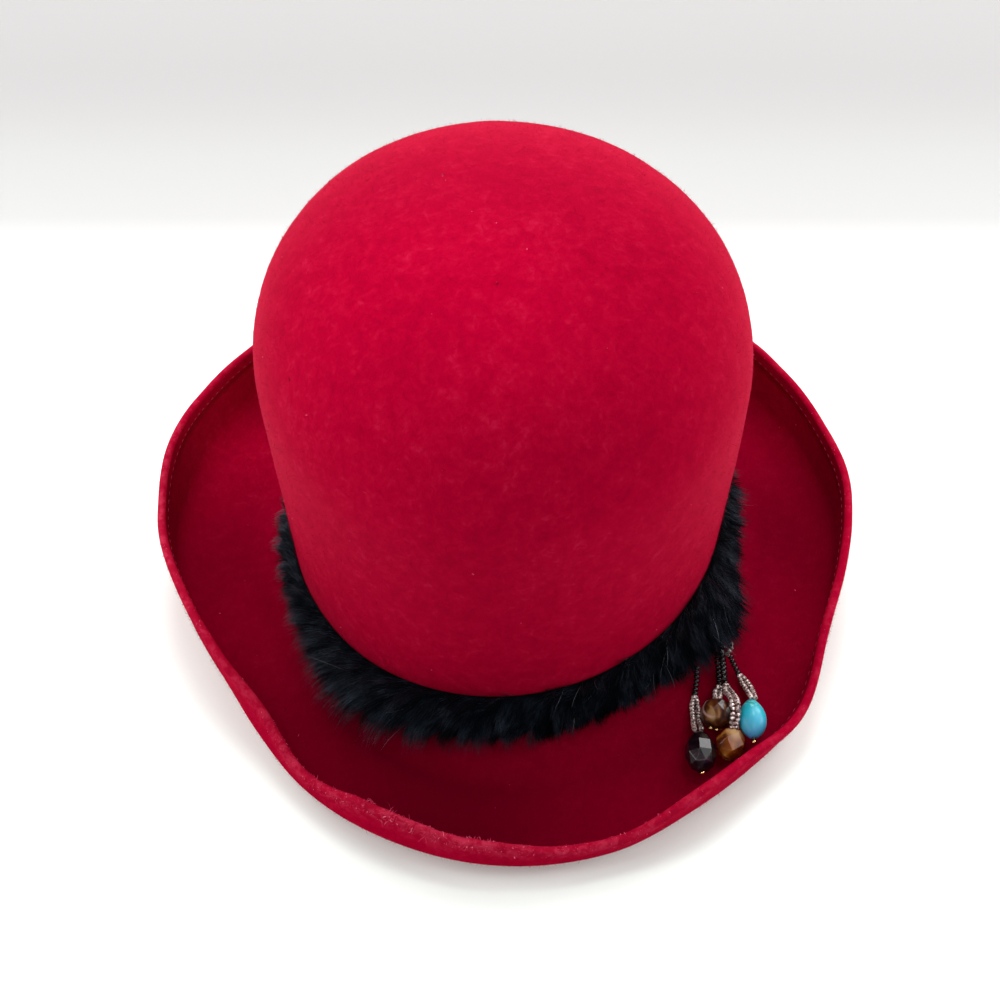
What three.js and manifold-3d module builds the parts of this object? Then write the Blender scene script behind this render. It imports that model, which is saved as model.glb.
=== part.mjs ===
// Lady's felt cloche hat: one blocked felt body with a turned-up gutter brim, a strip of fur round
// the foot of the crown, and a tassel of four beaded drops sewn under the fur.
// Millimetres, +Z up. The front of the hat is towards -Y and the wearer's left is towards +X.
import * as THREE from 'three';
import { mergeVertices } from 'three/addons/utils/BufferGeometryUtils.js';
import Module from 'manifold-3d';

const wasm = await Module();
wasm.setup();

// ---- Driving dimensions ----

const FELT = 2.5;              // wall of the blocked felt
const HEM_EXTRA = 1.4;         // the turned hem adds this to the wall at the rim
const HEM_WIDTH = 7;           // how far the turned hem reaches down inside the brim
const HEM_SHARE = 0.8;         // and the most of the wall's height that it may take
const GAP = 0.4;               // clearance between pieces that touch on the real hat

// Inside of the crown, the shape of the block it was pulled over.
const BLOCK = {
  halfWidth: 83.5,             // at the head size line
  widestHalfWidth: 85.4,       // where the dome begins
  depthRatio: 1.152,           // front-to-back over side-to-side
  domeStart: 103,
  height: 164.5,
  domePower: 2.28,             // superellipse exponent of the dome: 2 is round, more is squarer
  lean: -3,                    // sideways drift of the dome's tip
};
const BREAK_HEIGHT = 4;        // underside of the brim where it leaves the crown
const BREAK_RADIUS = 9;        // bend there, measured on the underside

// The gutter: flat stretch that the hat rests on, then the curl up to the belly.
const FLOOR_INNER = 30;        // from the belly in to where the flat stretch begins
const FLOOR_OUTER = 15;        // from the belly in to where the curl begins
const BELLY_HEIGHT = 13;       // height of the widest part of the curl, half the rim's at most

// Brim by azimuth: 0 is the wearer's left, 90 the back, 180 the right, 270 the front.
const BRIM_ROWS = [
  { azimuth: 0, rim: 141, height: 32, belly: 140 },
  { azimuth: 14, rim: 141, height: 34, belly: 140.5 },
  { azimuth: 28, rim: 141, height: 36.5, belly: 141 },
  { azimuth: 45, rim: 143, height: 37, belly: 142.5 },
  { azimuth: 90, rim: 144, height: 36, belly: 144 },
  { azimuth: 135, rim: 142.5, height: 36, belly: 142.5 },
  { azimuth: 158, rim: 143, height: 35, belly: 142 },
  { azimuth: 172, rim: 140, height: 39, belly: 139 },
  { azimuth: 188, rim: 138.5, height: 34, belly: 138 },
  { azimuth: 204, rim: 134.5, height: 33, belly: 133 },
  { azimuth: 218, rim: 133.5, height: 29, belly: 132 },
  { azimuth: 229, rim: 133.5, height: 23, belly: 136 },
  { azimuth: 240, rim: 141.5, height: 15, belly: 142 },
  { azimuth: 252, rim: 145.5, height: 20, belly: 148 },
  { azimuth: 268, rim: 150.5, height: 17, belly: 152 },
  { azimuth: 284, rim: 152, height: 13, belly: 151 },
  { azimuth: 296, rim: 148.5, height: 20, belly: 147.5 },
  { azimuth: 306, rim: 146, height: 19, belly: 145 },
  { azimuth: 317, rim: 146.5, height: 18, belly: 143.5 },
  { azimuth: 330, rim: 138, height: 27, belly: 138.5 },
  { azimuth: 345, rim: 137.5, height: 31, belly: 137 },
];

// Fur strip by azimuth: how far the fur stands off the crown, and the height of its upper edge.
const FUR_ROWS = [
  { azimuth: 0, thick: 11, top: 35 },
  { azimuth: 30, thick: 9, top: 31 },
  { azimuth: 90, thick: 9, top: 28 },
  { azimuth: 150, thick: 9, top: 27 },
  { azimuth: 180, thick: 8.5, top: 26 },
  { azimuth: 205, thick: 9, top: 25 },
  { azimuth: 228, thick: 11.5, top: 26 },
  { azimuth: 246, thick: 13.5, top: 27 },
  { azimuth: 262, thick: 11.5, top: 28 },
  { azimuth: 285, thick: 9.5, top: 31 },
  { azimuth: 300, thick: 9, top: 33 },
  { azimuth: 312, thick: 13, top: 34 },
  { azimuth: 321, thick: 17, top: 36 },
  { azimuth: 329, thick: 17, top: 36 },
  { azimuth: 335, thick: 12, top: 36 },
  { azimuth: 345, thick: 10.5, top: 36 },
];

const SEED_RADIUS = 1;         // thread of seed beads, taken as one tube
const SEED_SIDES = 6;
const SEED_STEP = 2;           // length of one step of the tube
const LOOP_SPREAD = 1.25;      // half the distance between the two threads of a loop
const LOOP_CLOSE = 0.6;        // the threads draw in to this share of it at the drop

// Drops: size across and along, middle, and the direction from the hole to the tip.
const DROPS = {
  bead_dark: { across: 11.2, length: 16, middle: [69.2, -109.3, 8.7], along: [-0.03, -1, 0.03] },
  bead_amber_round: { across: 11.8, length: 11.4, middle: [76.9, -94.8, 9], along: [-0.12, -1, -0.05] },
  bead_amber_nugget: { across: 11.5, length: 12.5, middle: [80.4, -107.2, 8.4], along: [-0.15, -0.9, -0.35] },
  bead_turquoise: { across: 10.4, length: 15, middle: [89.4, -97.6, 12], along: [-0.12, -1, -0.03] },
};
const NUGGET_THICK = 10;       // the nugget is flatter than it is wide

const ROUND = 72;              // divisions round the hat

// ---- Small tools ----

const radians = THREE.MathUtils.degToRad;

// Smooth closed curve through one column of a table that is sorted by azimuth.
function around(rows, column) {
  const count = rows.length;
  const at = (i) => {
    const turn = Math.floor(i / count);
    const row = rows[i - turn * count];
    return { angle: row.azimuth + 360 * turn, value: row[column] };
  };
  const slope = (i) => {
    const before = at(i - 1);
    const after = at(i + 1);
    return (after.value - before.value) / (after.angle - before.angle);
  };
  return (azimuth) => {
    let i = 0;
    while (i + 1 < count && rows[i + 1].azimuth <= azimuth) i += 1;
    const left = at(i);
    const right = at(i + 1);
    const span = right.angle - left.angle;
    const t = (azimuth - left.angle) / span;
    const start = left.value * (2 * t ** 3 - 3 * t ** 2 + 1) + slope(i) * span * (t ** 3 - 2 * t ** 2 + t);
    const end = right.value * (3 * t ** 2 - 2 * t ** 3) + slope(i + 1) * span * (t ** 3 - t ** 2);
    return start + end;
  };
}

// A mesh as one solid for cutting and joining, with its shared vertices merged.
function toSolid(geometry) {
  const bare = geometry.clone();
  bare.deleteAttribute('normal');
  bare.deleteAttribute('uv');
  const merged = mergeVertices(bare, 1e-4);
  return new wasm.Manifold(new wasm.Mesh({
    numProp: 3,
    vertProperties: merged.attributes.position.array,
    triVerts: new Uint32Array(merged.index.array),
  }));
}

function toGeometry(solid) {
  const mesh = solid.getMesh();
  const geometry = new THREE.BufferGeometry();
  geometry.setAttribute('position', new THREE.BufferAttribute(mesh.vertProperties, 3));
  geometry.setIndex(new THREE.BufferAttribute(mesh.triVerts, 1));
  geometry.computeVertexNormals();
  return geometry;
}

// Closed skin over a stack of rings. A ring of one point is a pole. When wrap is set, the last
// ring joins the first, as in a band that closes on itself.
function skin(rings, wrap = false) {
  const points = [];
  const starts = [];
  for (const ring of rings) {
    starts.push(points.length / 3);
    for (const point of ring) points.push(point.x, point.y, point.z);
  }
  const faces = [];
  const joins = wrap ? rings.length : rings.length - 1;
  for (let k = 0; k < joins; k += 1) {
    const next = (k + 1) % rings.length;
    const sides = Math.max(rings[k].length, rings[next].length);
    for (let j = 0; j < sides; j += 1) {
      const a = starts[k] + (j % rings[k].length);
      const b = starts[k] + ((j + 1) % rings[k].length);
      const c = starts[next] + (j % rings[next].length);
      const d = starts[next] + ((j + 1) % rings[next].length);
      if (a !== b) faces.push(a, c, b);
      if (c !== d) faces.push(b, c, d);
    }
  }
  const geometry = new THREE.BufferGeometry();
  geometry.setAttribute('position', new THREE.Float32BufferAttribute(points, 3));
  geometry.setIndex(faces);
  geometry.computeVertexNormals();
  return geometry;
}

// ---- Crown and brim ----

// Distance from the crown's axis to an oval of the block's proportions, along one azimuth.
function ovalReach(halfWidth, azimuth) {
  const halfDepth = halfWidth * BLOCK.depthRatio;
  const across = halfDepth * Math.cos(radians(azimuth));
  const along = halfWidth * Math.sin(radians(azimuth));
  return halfWidth * halfDepth / Math.hypot(across, along);
}

const SIDE_FOOT = BREAK_HEIGHT + BREAK_RADIUS;

// Half-width of the block between the head size line and the start of the dome.
function sideHalfWidth(z) {
  const t = (z - SIDE_FOOT) / (BLOCK.domeStart - SIDE_FOOT);
  return THREE.MathUtils.lerp(BLOCK.halfWidth, BLOCK.widestHalfWidth, t * t * (3 - 2 * t));
}

// Sideways drift of the crown at one height.
function leanAt(z) {
  const t = Math.max(0, (z - SIDE_FOOT) / (BLOCK.height - SIDE_FOOT));
  return BLOCK.lean * t ** 3;
}

// A point at a reach and height along one azimuth.
function place(azimuth, reach, z) {
  const x = leanAt(z) + reach * Math.cos(radians(azimuth));
  return new THREE.Vector3(x, reach * Math.sin(radians(azimuth)), z);
}

const brimColumns = ['rim', 'height', 'belly'].map((name) => [name, around(BRIM_ROWS, name)]);
const brimAt = (azimuth) => Object.fromEntries(brimColumns.map(([name, at]) => [name, at(azimuth)]));

const DOME_STEPS = 9;
const SIDE_STEPS = 3;
const BREAK_STEPS = 3;
const CURL_STEPS = 4;
const TIP_STEPS = 4;
const RAMP_FOOT = [4, 0.4];    // the brim meets its flat stretch this far in, this far up

// Underside of the felt along one azimuth, from the crown's tip to the rim. Each station has its
// reach, its height and the thickness of felt over it.
function undersideLine(azimuth) {
  const brim = brimAt(azimuth);
  const line = [];
  const add = (reach, z, thick = FELT) => line.push({ reach, z, thick });
  const rise = BLOCK.height - BLOCK.domeStart;
  for (let k = 1; k <= DOME_STEPS; k += 1) {
    const angle = (Math.PI / 2) * (1 - k / DOME_STEPS);
    const halfWidth = BLOCK.widestHalfWidth * Math.cos(angle) ** (2 / BLOCK.domePower);
    add(ovalReach(halfWidth, azimuth), BLOCK.domeStart + rise * Math.sin(angle) ** (2 / BLOCK.domePower));
  }
  for (let k = 1; k <= SIDE_STEPS; k += 1) {
    const z = THREE.MathUtils.lerp(BLOCK.domeStart, SIDE_FOOT, k / SIDE_STEPS);
    add(ovalReach(sideHalfWidth(z), azimuth), z);
  }
  const foot = ovalReach(BLOCK.halfWidth, azimuth);
  for (let k = 1; k <= BREAK_STEPS; k += 1) {
    const angle = (Math.PI / 2) * (k / BREAK_STEPS);
    add(foot + BREAK_RADIUS * (1 - Math.cos(angle)), SIDE_FOOT - BREAK_RADIUS * Math.sin(angle));
  }
  const floorStart = brim.belly - FLOOR_INNER;
  const curlStart = brim.belly - FLOOR_OUTER;
  add(floorStart - RAMP_FOOT[0], RAMP_FOOT[1]);
  for (const part of [0, 1 / 3, 2 / 3, 1]) add(THREE.MathUtils.lerp(floorStart, curlStart, part), 0);
  const bellyHeight = Math.min(BELLY_HEIGHT, brim.height / 2);
  for (let k = 1; k <= CURL_STEPS; k += 1) {
    const angle = (Math.PI / 2) * (k / CURL_STEPS);
    add(curlStart + FLOOR_OUTER * Math.sin(angle), bellyHeight * (1 - Math.cos(angle)));
  }
  const wall = new THREE.Vector2(brim.rim - brim.belly, brim.height - bellyHeight);
  const length = wall.length();
  const hemThick = FELT + HEM_EXTRA;
  const hemFoot = length - Math.min(HEM_WIDTH, HEM_SHARE * length);
  const climb = (distance, thick) => {
    const part = distance / length;
    add(brim.belly + wall.x * part, bellyHeight + wall.y * part, thick);
  };
  climb(hemFoot, FELT);
  climb(hemFoot + HEM_EXTRA / 2, hemThick);
  climb(length - hemThick / 2, hemThick);
  return line;
}

// Unit normal of each station, pointing out of the crown and up out of the gutter.
function stationNormals(line) {
  return line.map((station, i) => {
    const before = line[Math.max(i - 1, 0)];
    const after = line[Math.min(i + 1, line.length - 1)];
    return new THREE.Vector2(before.z - after.z, after.reach - before.reach).normalize();
  });
}

// One felt wall from the tip of the crown, down the outside, round the rim and back up inside.
function feltBody() {
  const columns = [];
  for (let j = 0; j < ROUND; j += 1) {
    const azimuth = (360 * j) / ROUND;
    const line = undersideLine(azimuth);
    const normals = stationNormals(line);
    const column = line.map((station, i) => place(
      azimuth,
      station.reach + normals[i].x * station.thick,
      station.z + normals[i].y * station.thick,
    ));
    const last = line[line.length - 1];
    const inward = normals[line.length - 1];
    const half = last.thick / 2;
    for (let k = 1; k < TIP_STEPS; k += 1) {
      const turn = Math.PI * (k / TIP_STEPS);
      const across = half * (1 + Math.cos(turn));
      const along = half * Math.sin(turn);
      const reach = last.reach + inward.x * across + inward.y * along;
      column.push(place(azimuth, reach, last.z + inward.y * across - inward.x * along));
    }
    for (let i = line.length - 1; i >= 0; i -= 1) column.push(place(azimuth, line[i].reach, line[i].z));
    columns.push(column);
  }
  const rings = columns[0].map((point, i) => columns.map((column) => column[i]));
  const outerTip = [place(0, 0, BLOCK.height + FELT)];
  const innerTip = [place(0, 0, BLOCK.height)];
  return skin([outerTip, ...rings, innerTip]);
}

// ---- Fur strip ----

const FUR_ARC = [0, 25, 50, 75, 100, 125, 150];   // degrees over the outside, from the upper edge
const FUR_FOOT = 7.2;          // height of the fur's lower edge
const FUR_FULLNESS = 0.7;      // power that squares the section
const FUR_BEND = [50, 20];     // degrees of the crown's bend where the strip's foot follows it

// Section of the strip at one azimuth: over the outside, then back up the crown's wall.
function furSection(azimuth, thick, top) {
  const section = [];
  const wallAt = (z) => ovalReach(sideHalfWidth(z), azimuth) + FELT;
  const middle = (top + FUR_FOOT) / 2;
  const half = (top - FUR_FOOT) / 2;
  for (const degrees of FUR_ARC) {
    const across = Math.sin(radians(degrees)) ** FUR_FULLNESS;
    const upright = Math.cos(radians(degrees));
    const z = middle + half * Math.sign(upright) * Math.abs(upright) ** FUR_FULLNESS;
    section.push(place(azimuth, wallAt(Math.max(z, SIDE_FOOT)) + GAP + (thick - GAP) * across, z));
  }
  const bend = BREAK_RADIUS - FELT - GAP;
  const bendCentre = ovalReach(BLOCK.halfWidth, azimuth) + BREAK_RADIUS;
  for (const degrees of FUR_BEND) {
    const reach = bendCentre - bend * Math.cos(radians(degrees));
    section.push(place(azimuth, reach, SIDE_FOOT - bend * Math.sin(radians(degrees))));
  }
  for (const z of [SIDE_FOOT, middle]) section.push(place(azimuth, wallAt(z) + GAP, z));
  return section;
}

function furBand() {
  const thickAt = around(FUR_ROWS, 'thick');
  const topAt = around(FUR_ROWS, 'top');
  const sections = [];
  for (let j = 0; j < ROUND; j += 1) {
    const azimuth = (360 * j) / ROUND;
    sections.push(furSection(azimuth, thickAt(azimuth), topAt(azimuth)));
  }
  return skin(sections[0].map((point, i) => sections.map((section) => section[i])), true);
}

// ---- Tassel ----

// Tube along a smooth route through the given points.
function thread(points) {
  const route = new THREE.CatmullRomCurve3(points.map((point) => new THREE.Vector3(...point)));
  const outline = new THREE.Shape();
  for (let k = 0; k < SEED_SIDES; k += 1) {
    const angle = (2 * Math.PI * k) / SEED_SIDES;
    const x = SEED_RADIUS * Math.cos(angle);
    const y = SEED_RADIUS * Math.sin(angle);
    if (k === 0) outline.moveTo(x, y);
    else outline.lineTo(x, y);
  }
  outline.closePath();
  const steps = Math.ceil(route.getLength() / SEED_STEP);
  return new THREE.ExtrudeGeometry(outline, { steps, extrudePath: route, bevelEnabled: false });
}

// A drop's stringing: one thread of dark seed beads down to the fork, then a loop of clear ones,
// whose two threads run side by side to the drop.
function stringing(single, loop) {
  const fork = single[single.length - 1];
  const runs = [thread(single)];
  for (const side of [-1, 1]) {
    const route = loop.map((point, i) => {
      const next = loop[Math.min(i + 1, loop.length - 1)];
      const before = i === 0 ? fork : loop[i - 1];
      const along = new THREE.Vector2(next[0] - before[0], next[1] - before[1]).normalize();
      const spread = i === loop.length - 1 ? LOOP_CLOSE * LOOP_SPREAD : LOOP_SPREAD;
      return [point[0] - side * spread * along.y, point[1] + side * spread * along.x, point[2]];
    });
    runs.push(thread([fork, ...route]));
  }
  return toGeometry(runs.map(toSolid).reduce((all, run) => all.add(run)));
}

// Bead with flat facets, turned from a profile of [share of the radius, share of the length] that
// runs from its tip to its hole. It stands along +Z with its middle at the origin.
function facetedBead({ across, length }, profile, sides) {
  const points = profile.map(([out, up]) => new THREE.Vector2(out * across / 2, (up - 0.5) * length));
  const bead = new THREE.LatheGeometry(points, sides);
  bead.rotateX(Math.PI / 2);
  return bead;
}

function smoothBead({ across, length }) {
  const bead = new THREE.SphereGeometry(0.5, 16, 10);
  bead.rotateX(Math.PI / 2);
  bead.scale(across, across, length);
  return bead;
}

function nuggetBead({ across, length }) {
  const bead = new THREE.IcosahedronGeometry(0.5, 0);
  bead.scale(across, NUGGET_THICK, length);
  return bead;
}

// ---- Assembly ----

const hat = new THREE.Group();

function addPiece(name, geometry, look) {
  const piece = new THREE.Mesh(geometry, new THREE.MeshStandardMaterial(look));
  piece.name = name;
  hat.add(piece);
  return piece;
}

// A drop lies with its middle at its place and its length along its line from hole to tip.
function addDrop(name, geometry, look) {
  const drop = addPiece(name, geometry, look);
  drop.position.set(...DROPS[name].middle);
  const along = new THREE.Vector3(...DROPS[name].along).normalize();
  drop.quaternion.setFromUnitVectors(new THREE.Vector3(0, 0, -1), along);
}

addPiece('felt_body', feltBody(), { color: 0xb0092f, roughness: 0.95, metalness: 0 });
addPiece('fur_band', furBand(), { color: 0x0b0d11, roughness: 0.8, metalness: 0 });

// Each string runs from under the fur to its drop: the single thread, then the middle line of the
// loop that holds the drop.
const STRINGS = {
  string_dark: {
    single: [[71.9, -75.2, 9.8], [71.6, -79, 7.4], [70.9, -83.2, 4.8]],
    loop: [[70.3, -88, 4.1], [69.9, -93.5, 5], [69.5, -100.4, 8.1]],
  },
  string_amber: {
    single: [[79.6, -68.6, 9.6], [79.8, -73, 6.8], [79.6, -79, 4.6]],
    loop: [[78.8, -83, 5.4], [78, -88, 8.9]],
  },
  string_nugget: {
    single: [[82.6, -67.4, 9.6], [83, -72.4, 7], [82.9, -79, 5.4]],
    loop: [[82.8, -84, 7.6], [82.6, -88.5, 12], [82.4, -93, 15.6], [82.2, -98, 16], [81.6, -102.4, 12.4]],
  },
  string_turquoise: {
    single: [[85.8, -68.6, 7.6], [87, -71.2, 6], [88.2, -74, 5]],
    loop: [[90, -78, 4.8], [91.2, -82.5, 6], [90.6, -89.3, 11.4]],
  },
};

const seedLook = { color: 0x8f8684, roughness: 0.2, metalness: 0 };
for (const [name, { single, loop }] of Object.entries(STRINGS)) {
  addPiece(name, stringing(single, loop), seedLook);
}

// Two short threads of clear beads that come out over the edge of the fur, above the strings.
const knot = [
  [[86.8, -65.2, 13.6], [86.4, -67, 11.8], [84.4, -69, 10.6]],
  [[84.2, -67.7, 13.8], [83.8, -68.6, 12.2], [83.8, -69.6, 10.6]],
].map((route) => toSolid(thread(route)));
addPiece('string_knot', toGeometry(knot[0].add(knot[1])), seedLook);

const DARK_PROFILE = [[0, 0], [0.43, 0.02], [0.89, 0.22], [1, 0.42], [0.84, 0.7], [0.39, 0.98], [0, 1]];
const ROUND_PROFILE = [[0, 0], [0.54, 0.02], [0.93, 0.26], [1, 0.5], [0.93, 0.74], [0.54, 0.98], [0, 1]];
const darkBead = facetedBead(DROPS.bead_dark, DARK_PROFILE, 8);
const roundBead = facetedBead(DROPS.bead_amber_round, ROUND_PROFILE, 10);
addDrop('bead_dark', darkBead, { color: 0x160d14, roughness: 0.12, metalness: 0.2 });
addDrop('bead_amber_round', roundBead, { color: 0x6a3312, roughness: 0.12, metalness: 0 });
addDrop('bead_amber_nugget', nuggetBead(DROPS.bead_amber_nugget), {
  color: 0xa8601c,
  roughness: 0.15,
  metalness: 0,
});
addDrop('bead_turquoise', smoothBead(DROPS.bead_turquoise), {
  color: 0x35b3cf,
  roughness: 0.25,
  metalness: 0,
});

// The origin is the middle of the hat's own footprint, on the surface that it rests on.
const box = new THREE.Box3().setFromObject(hat);
hat.position.set(-(box.min.x + box.max.x) / 2, -(box.min.y + box.max.y) / 2, 0);

export default hat;
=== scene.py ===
# Lady's red felt cloche hat: a blocked hood with a turned-up brim, a strip of black fur round the
# foot of the crown, and a tassel of beaded drops. The front is towards -Y, the wearer's left +X.
import math

import bmesh
import bpy
import numpy as np
from mathutils import Matrix, Vector, noise


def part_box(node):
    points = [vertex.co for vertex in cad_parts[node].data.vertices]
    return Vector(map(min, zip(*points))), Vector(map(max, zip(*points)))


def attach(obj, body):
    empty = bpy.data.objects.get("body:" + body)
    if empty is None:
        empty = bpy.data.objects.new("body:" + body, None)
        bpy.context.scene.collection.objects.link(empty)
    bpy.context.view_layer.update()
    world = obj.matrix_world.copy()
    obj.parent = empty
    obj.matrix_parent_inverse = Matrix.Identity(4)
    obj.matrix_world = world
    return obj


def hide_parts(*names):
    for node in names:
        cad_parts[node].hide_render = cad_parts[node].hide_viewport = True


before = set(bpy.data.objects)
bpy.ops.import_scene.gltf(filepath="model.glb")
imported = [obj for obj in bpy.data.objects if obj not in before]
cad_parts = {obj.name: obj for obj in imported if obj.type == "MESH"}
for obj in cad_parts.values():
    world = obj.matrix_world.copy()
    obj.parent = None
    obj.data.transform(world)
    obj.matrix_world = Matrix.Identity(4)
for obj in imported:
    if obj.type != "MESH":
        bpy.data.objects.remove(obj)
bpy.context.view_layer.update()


# ---- Felt hood ----
# Crown and brim are one hood of wool felt, steamed and pulled over a wooden block. The brim turns
# up into a gutter, and its rim is folded inwards once and sewn down, so it is thicker there.

MM = 0.001
FELT = 2.5                     # wall of the blocked felt, all sizes here in millimetres
HEM_EXTRA = 0.8                # the turned hem adds this to the wall at the rim
HEM_WIDTH = 7                  # how far the turned hem reaches down inside the brim
HEM_SHARE = 0.8                # and the most of the wall's height that it may take
BLOCK_HALF_WIDTH = 83.5        # inside of the crown at the head size line
BLOCK_WIDEST = 85.4            # and where the dome begins
BLOCK_DEPTH_RATIO = 1.152      # front-to-back over side-to-side
DOME_START = 103
CROWN_HEIGHT = 164.5
DOME_POWER = 2.28              # 2 is a round dome, more is squarer
CROWN_LEAN = -3                # sideways drift of the dome's tip
BREAK_HEIGHT = 4               # underside of the brim where it leaves the crown
BREAK_RADIUS = 9
SIDE_FOOT = BREAK_HEIGHT + BREAK_RADIUS
FLOOR_INNER = 30               # from the belly of the curl in to where the flat stretch begins
FLOOR_OUTER = 15               # and in to where the curl begins
BELLY_HEIGHT = 13
DIVISIONS = 420                # round the hat

# azimuth (0 the wearer's left, 90 the back, 270 the front), reach of the rim, its height, and the
# reach of the curl's widest part
BRIM = [
    (0, 141, 32, 140), (14, 141, 34, 140.5), (28, 141, 36.5, 141), (45, 143, 37, 142.5),
    (90, 144, 36, 144), (135, 142.5, 36, 142.5), (158, 143, 35, 142), (172, 140, 39, 139),
    (188, 138.5, 34, 138), (204, 134.5, 33, 133), (218, 133.5, 29, 132), (229, 133.5, 23, 136),
    (240, 141.5, 15, 142), (252, 145.5, 20, 148), (268, 150.5, 17, 152), (284, 152, 13, 151),
    (296, 148.5, 20, 147.5), (306, 146, 19, 145), (317, 146.5, 18, 143.5), (330, 138, 27, 138.5),
    (345, 137.5, 31, 137),
]


def around(rows, column, azimuth):
    """Smooth closed curve through one column of a table that is sorted by azimuth."""
    table = np.array(rows, float)
    angle = np.concatenate([table[-1:, 0] - 360, table[:, 0], table[:2, 0] + 360])
    value = np.concatenate([table[-1:, column], table[:, column], table[:2, column]])
    slope = (value[2:] - value[:-2]) / (angle[2:] - angle[:-2])
    i = np.searchsorted(table[:, 0], azimuth, side="right")
    span = angle[i + 1] - angle[i]
    t = (azimuth - angle[i]) / span
    start = value[i] * (2 * t**3 - 3 * t**2 + 1) + slope[i - 1] * span * (t**3 - 2 * t**2 + t)
    return start + value[i + 1] * (3 * t**2 - 2 * t**3) + slope[i] * span * (t**3 - t**2)


def oval_reach(half_width, azimuth):
    """Distance from the crown's axis to an oval of the block's proportions."""
    half_depth = half_width * BLOCK_DEPTH_RATIO
    turn = np.radians(azimuth)
    return half_width * half_depth / np.hypot(half_depth * np.cos(turn), half_width * np.sin(turn))


def side_half_width(height):
    """Half-width of the block between the head size line and the start of the dome."""
    t = (height - SIDE_FOOT) / (DOME_START - SIDE_FOOT)
    return BLOCK_HALF_WIDTH + (BLOCK_WIDEST - BLOCK_HALF_WIDTH) * t * t * (3 - 2 * t)


def crown_point(azimuth, reach, height):
    """Points at a reach and height from the crown's axis, with the crown's slight lean."""
    climb = np.clip((height - SIDE_FOOT) / (CROWN_HEIGHT - SIDE_FOOT), 0, None)
    turn = np.radians(azimuth)
    x = CROWN_LEAN * climb**3 + reach * np.cos(turn)
    return np.stack([x, reach * np.sin(turn) + 0 * height, height + 0 * reach], -1)


def felt_underside(azimuth):
    """Reach, height and wall of the felt's underside, from the crown's tip out to the rim."""
    rim, height, belly = (around(BRIM, column, azimuth) for column in (1, 2, 3))
    line = []

    def add(reach, z, wall=FELT):
        line.append([reach + 0 * azimuth, z + 0 * azimuth, wall + 0 * azimuth])

    for angle in np.radians(np.linspace(90, 0, 33)[1:]):
        half_width = BLOCK_WIDEST * math.cos(angle) ** (2 / DOME_POWER)
        rise = (CROWN_HEIGHT - DOME_START) * math.sin(angle) ** (2 / DOME_POWER)
        add(oval_reach(half_width, azimuth), DOME_START + rise)
    for z in np.linspace(DOME_START, SIDE_FOOT, 15)[1:]:
        add(oval_reach(side_half_width(z), azimuth), z)
    foot = oval_reach(BLOCK_HALF_WIDTH, azimuth)
    for angle in np.radians(np.linspace(0, 90, 9)[1:]):
        add(foot + BREAK_RADIUS * (1 - math.cos(angle)), SIDE_FOOT - BREAK_RADIUS * math.sin(angle))
    ramp, curl_start = foot + BREAK_RADIUS, belly - FLOOR_OUTER
    floor_start = np.maximum(belly - FLOOR_INNER, ramp + 9)
    for t in np.linspace(0, 1, 6)[1:]:
        add(ramp + (floor_start - ramp) * t, BREAK_HEIGHT * (1 - t * t * (3 - 2 * t)))
    for t in (0.33, 0.67, 1):
        add(floor_start + (curl_start - floor_start) * t, 0)
    belly_height = np.minimum(BELLY_HEIGHT, height / 2)
    for angle in np.radians(np.linspace(0, 90, 13)[1:]):
        add(curl_start + FLOOR_OUTER * math.sin(angle), belly_height * (1 - math.cos(angle)))
    length = np.hypot(rim - belly, height - belly_height)
    hem_foot = length - np.minimum(HEM_WIDTH, HEM_SHARE * length)
    hem_wall = FELT + HEM_EXTRA

    def climb(distance, wall):
        part = distance / length
        add(belly + (rim - belly) * part, belly_height + (height - belly_height) * part, wall)

    for t in (0.25, 0.5, 0.75, 1):
        climb(hem_foot * t, FELT)
    climb(hem_foot + HEM_EXTRA * 0.3, FELT + HEM_EXTRA * 0.55)
    for t in np.linspace(0, 1, 6):
        start = hem_foot + HEM_EXTRA * 0.8
        climb(start + (length - hem_wall / 2 - start) * t, hem_wall)
    return np.moveaxis(np.array(line), 1, 0)


def felt_sides(azimuth):
    """Rings of points up the outer side of the felt, round the rim's edge, and back underneath."""
    reach, height, wall = felt_underside(azimuth)
    across, up = -np.gradient(height, axis=0), np.gradient(reach, axis=0)
    size = np.hypot(across, up)
    across, up = across / size, up / size
    upper = crown_point(azimuth, reach + across * wall, height + up * wall)
    under = crown_point(azimuth, reach, height)
    edge = []
    for turn in np.radians(np.linspace(0, 180, 10)[1:-1]):
        inward = wall[-1] / 2 * (1 + math.cos(turn))
        outward = wall[-1] / 2 * math.sin(turn)
        edge.append(crown_point(azimuth, reach[-1] + across[-1] * inward + up[-1] * outward,
                                height[-1] + up[-1] * inward - across[-1] * outward))
    return upper, np.array(edge), under[::-1]


def loft(rings, poles=(), closed=False):
    """Points and faces of a skin over rings of equal length, with a pole at each end if asked."""
    count, around_count = rings.shape[:2]
    points = [tuple(p) for p in rings.reshape(-1, 3)]
    faces = []
    for k in range(count if closed else count - 1):
        here, below = k * around_count, (k + 1) % count * around_count
        for j in range(around_count):
            n = (j + 1) % around_count
            faces.append((here + j, below + j, below + n, here + n))
    if poles:
        top, last = len(points), (count - 1) * around_count
        points += [tuple(poles[0]), tuple(poles[1])]
        for j in range(around_count):
            n = (j + 1) % around_count
            faces += [(top, j, n), (last + j, top + 1, last + n)]
    return points, faces


def in_scene(name, data):
    """A new object of the scene that shows a mesh, lamp or camera."""
    piece = bpy.data.objects.new(name, data)
    bpy.context.scene.collection.objects.link(piece)
    return piece


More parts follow.
